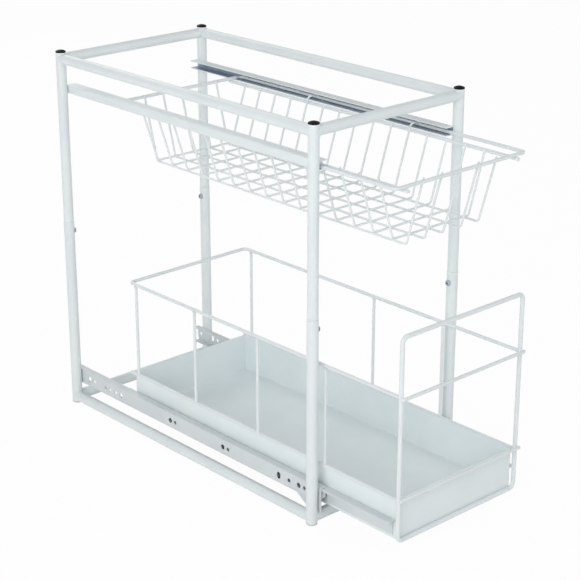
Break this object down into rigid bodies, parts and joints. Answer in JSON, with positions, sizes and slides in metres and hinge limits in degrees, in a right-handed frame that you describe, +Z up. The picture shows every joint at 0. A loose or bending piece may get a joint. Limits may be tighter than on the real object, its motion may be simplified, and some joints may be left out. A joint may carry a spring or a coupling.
{
  "type": "pull-out cabinet basket",
  "caption": "Two-tier pull-out kitchen cabinet unit: white tube frame, sliding wire basket on top, and a sheet-steel drawer with wire rails and a front loop on roller slides.",
  "frame": {"origin": "on the floor, under the middle of the whole unit's box in the rest pose; the tube frame's middle is 55 mm behind it", "axes": "+Z up, -Y towards the front, where the basket and the drawer come out; +X to the right seen from the front"},
  "size_m": [0.2262, 0.563, 0.45],
  "materials": {
    "white_paint": "satin",
    "zinc_steel": "satin",
    "black_plastic": "matte",
    "pale_plastic": "matte"
  },
  "bodies": {
    "frame": {"lower_post_front_left": "white_paint", "upper_post_front_left": "white_paint", "post_cap_front_left": "black_plastic", "foot_plug_front_left": "pale_plastic", "lower_post_front_right": "white_paint", "upper_post_front_right": "white_paint", "post_cap_front_right": "black_plastic", "foot_plug_front_right": "pale_plastic", "lower_post_rear_left": "white_paint", "upper_post_rear_left": "white_paint", "post_cap_rear_left": "black_plastic", "foot_plug_rear_left": "pale_plastic", "lower_post_rear_right": "white_paint", "upper_post_rear_right": "white_paint", "post_cap_rear_right": "black_plastic", "foot_plug_rear_right": "pale_plastic", "post_screws": "zinc_steel", "top_rail_front": "white_paint", "top_rail_rear": "white_paint", "top_rail_left": "white_paint", "top_rail_right": "white_paint", "bottom_rail_front": "white_paint", "bottom_rail_rear": "white_paint", "bottom_rail_left": "white_paint", "bottom_rail_right": "white_paint", "upper_runner_left": "white_paint", "cabinet_slide_left": "white_paint", "cabinet_axle_left": "zinc_steel", "upper_runner_right": "white_paint", "cabinet_slide_right": "white_paint", "cabinet_axle_right": "zinc_steel"},
    "basket": {"basket_rim": "white_paint", "basket_side_wire_left": "white_paint", "basket_side_wire_right": "white_paint", "basket_cross_wires": "white_paint", "basket_hook_wires": "white_paint", "basket_long_wires": "white_paint"},
    "drawer": {"tray": "white_paint", "tray_edge_wire_left": "white_paint", "tray_edge_wire_right": "white_paint", "gallery_rail": "white_paint", "gallery_uprights_left": "white_paint", "gallery_uprights_right": "white_paint", "front_loop": "white_paint", "front_wire_low": "white_paint", "front_wire_middle": "white_paint", "drawer_member_left": "white_paint", "drawer_member_right": "white_paint", "drawer_axle_left": "zinc_steel", "drawer_axle_right": "zinc_steel"},
    "cabinet_roller_left": {"cabinet_roller_left": "pale_plastic"},
    "drawer_roller_left": {"drawer_roller_left": "pale_plastic"},
    "cabinet_roller_right": {"cabinet_roller_right": "pale_plastic"},
    "drawer_roller_right": {"drawer_roller_right": "pale_plastic"}
  },
  "joints": [
    {"name": "drawer_slide", "type": "slide", "parent": "frame", "child": "drawer", "axis": [0, -1, 0], "range_m": [-0.096, 0.242]},
    {"name": "basket_slide", "type": "slide", "parent": "frame", "child": "basket", "axis": [0, -1, 0], "range_m": [-0.092, 0.2]},
    {"name": "cabinet_roller_left_turn", "type": "hinge", "parent": "frame", "child": "cabinet_roller_left", "pos_m": [-0.09485, -0.16128, 0.0336], "axis": [1, 0, 0], "range_deg": [-800, 1995]},
    {"name": "drawer_roller_left_turn", "type": "hinge", "parent": "drawer", "child": "drawer_roller_left", "pos_m": [-0.09265, 0.17608, 0.0323], "axis": [1, 0, 0], "range_deg": [-800, 1995]},
    {"name": "cabinet_roller_right_turn", "type": "hinge", "parent": "frame", "child": "cabinet_roller_right", "pos_m": [0.09485, -0.16128, 0.0336], "axis": [1, 0, 0], "range_deg": [-800, 1995]},
    {"name": "drawer_roller_right_turn", "type": "hinge", "parent": "drawer", "child": "drawer_roller_right", "pos_m": [0.09265, 0.17608, 0.0323], "axis": [1, 0, 0], "range_deg": [-800, 1995]}
  ],
  "couplings": [
    {"joint": "cabinet_roller_left_turn", "follows": "drawer_slide", "rad_per_m": 142.86},
    {"joint": "drawer_roller_left_turn", "follows": "drawer_slide", "rad_per_m": 142.86},
    {"joint": "cabinet_roller_right_turn", "follows": "drawer_slide", "rad_per_m": 142.86},
    {"joint": "drawer_roller_right_turn", "follows": "drawer_slide", "rad_per_m": 142.86}
  ]
}
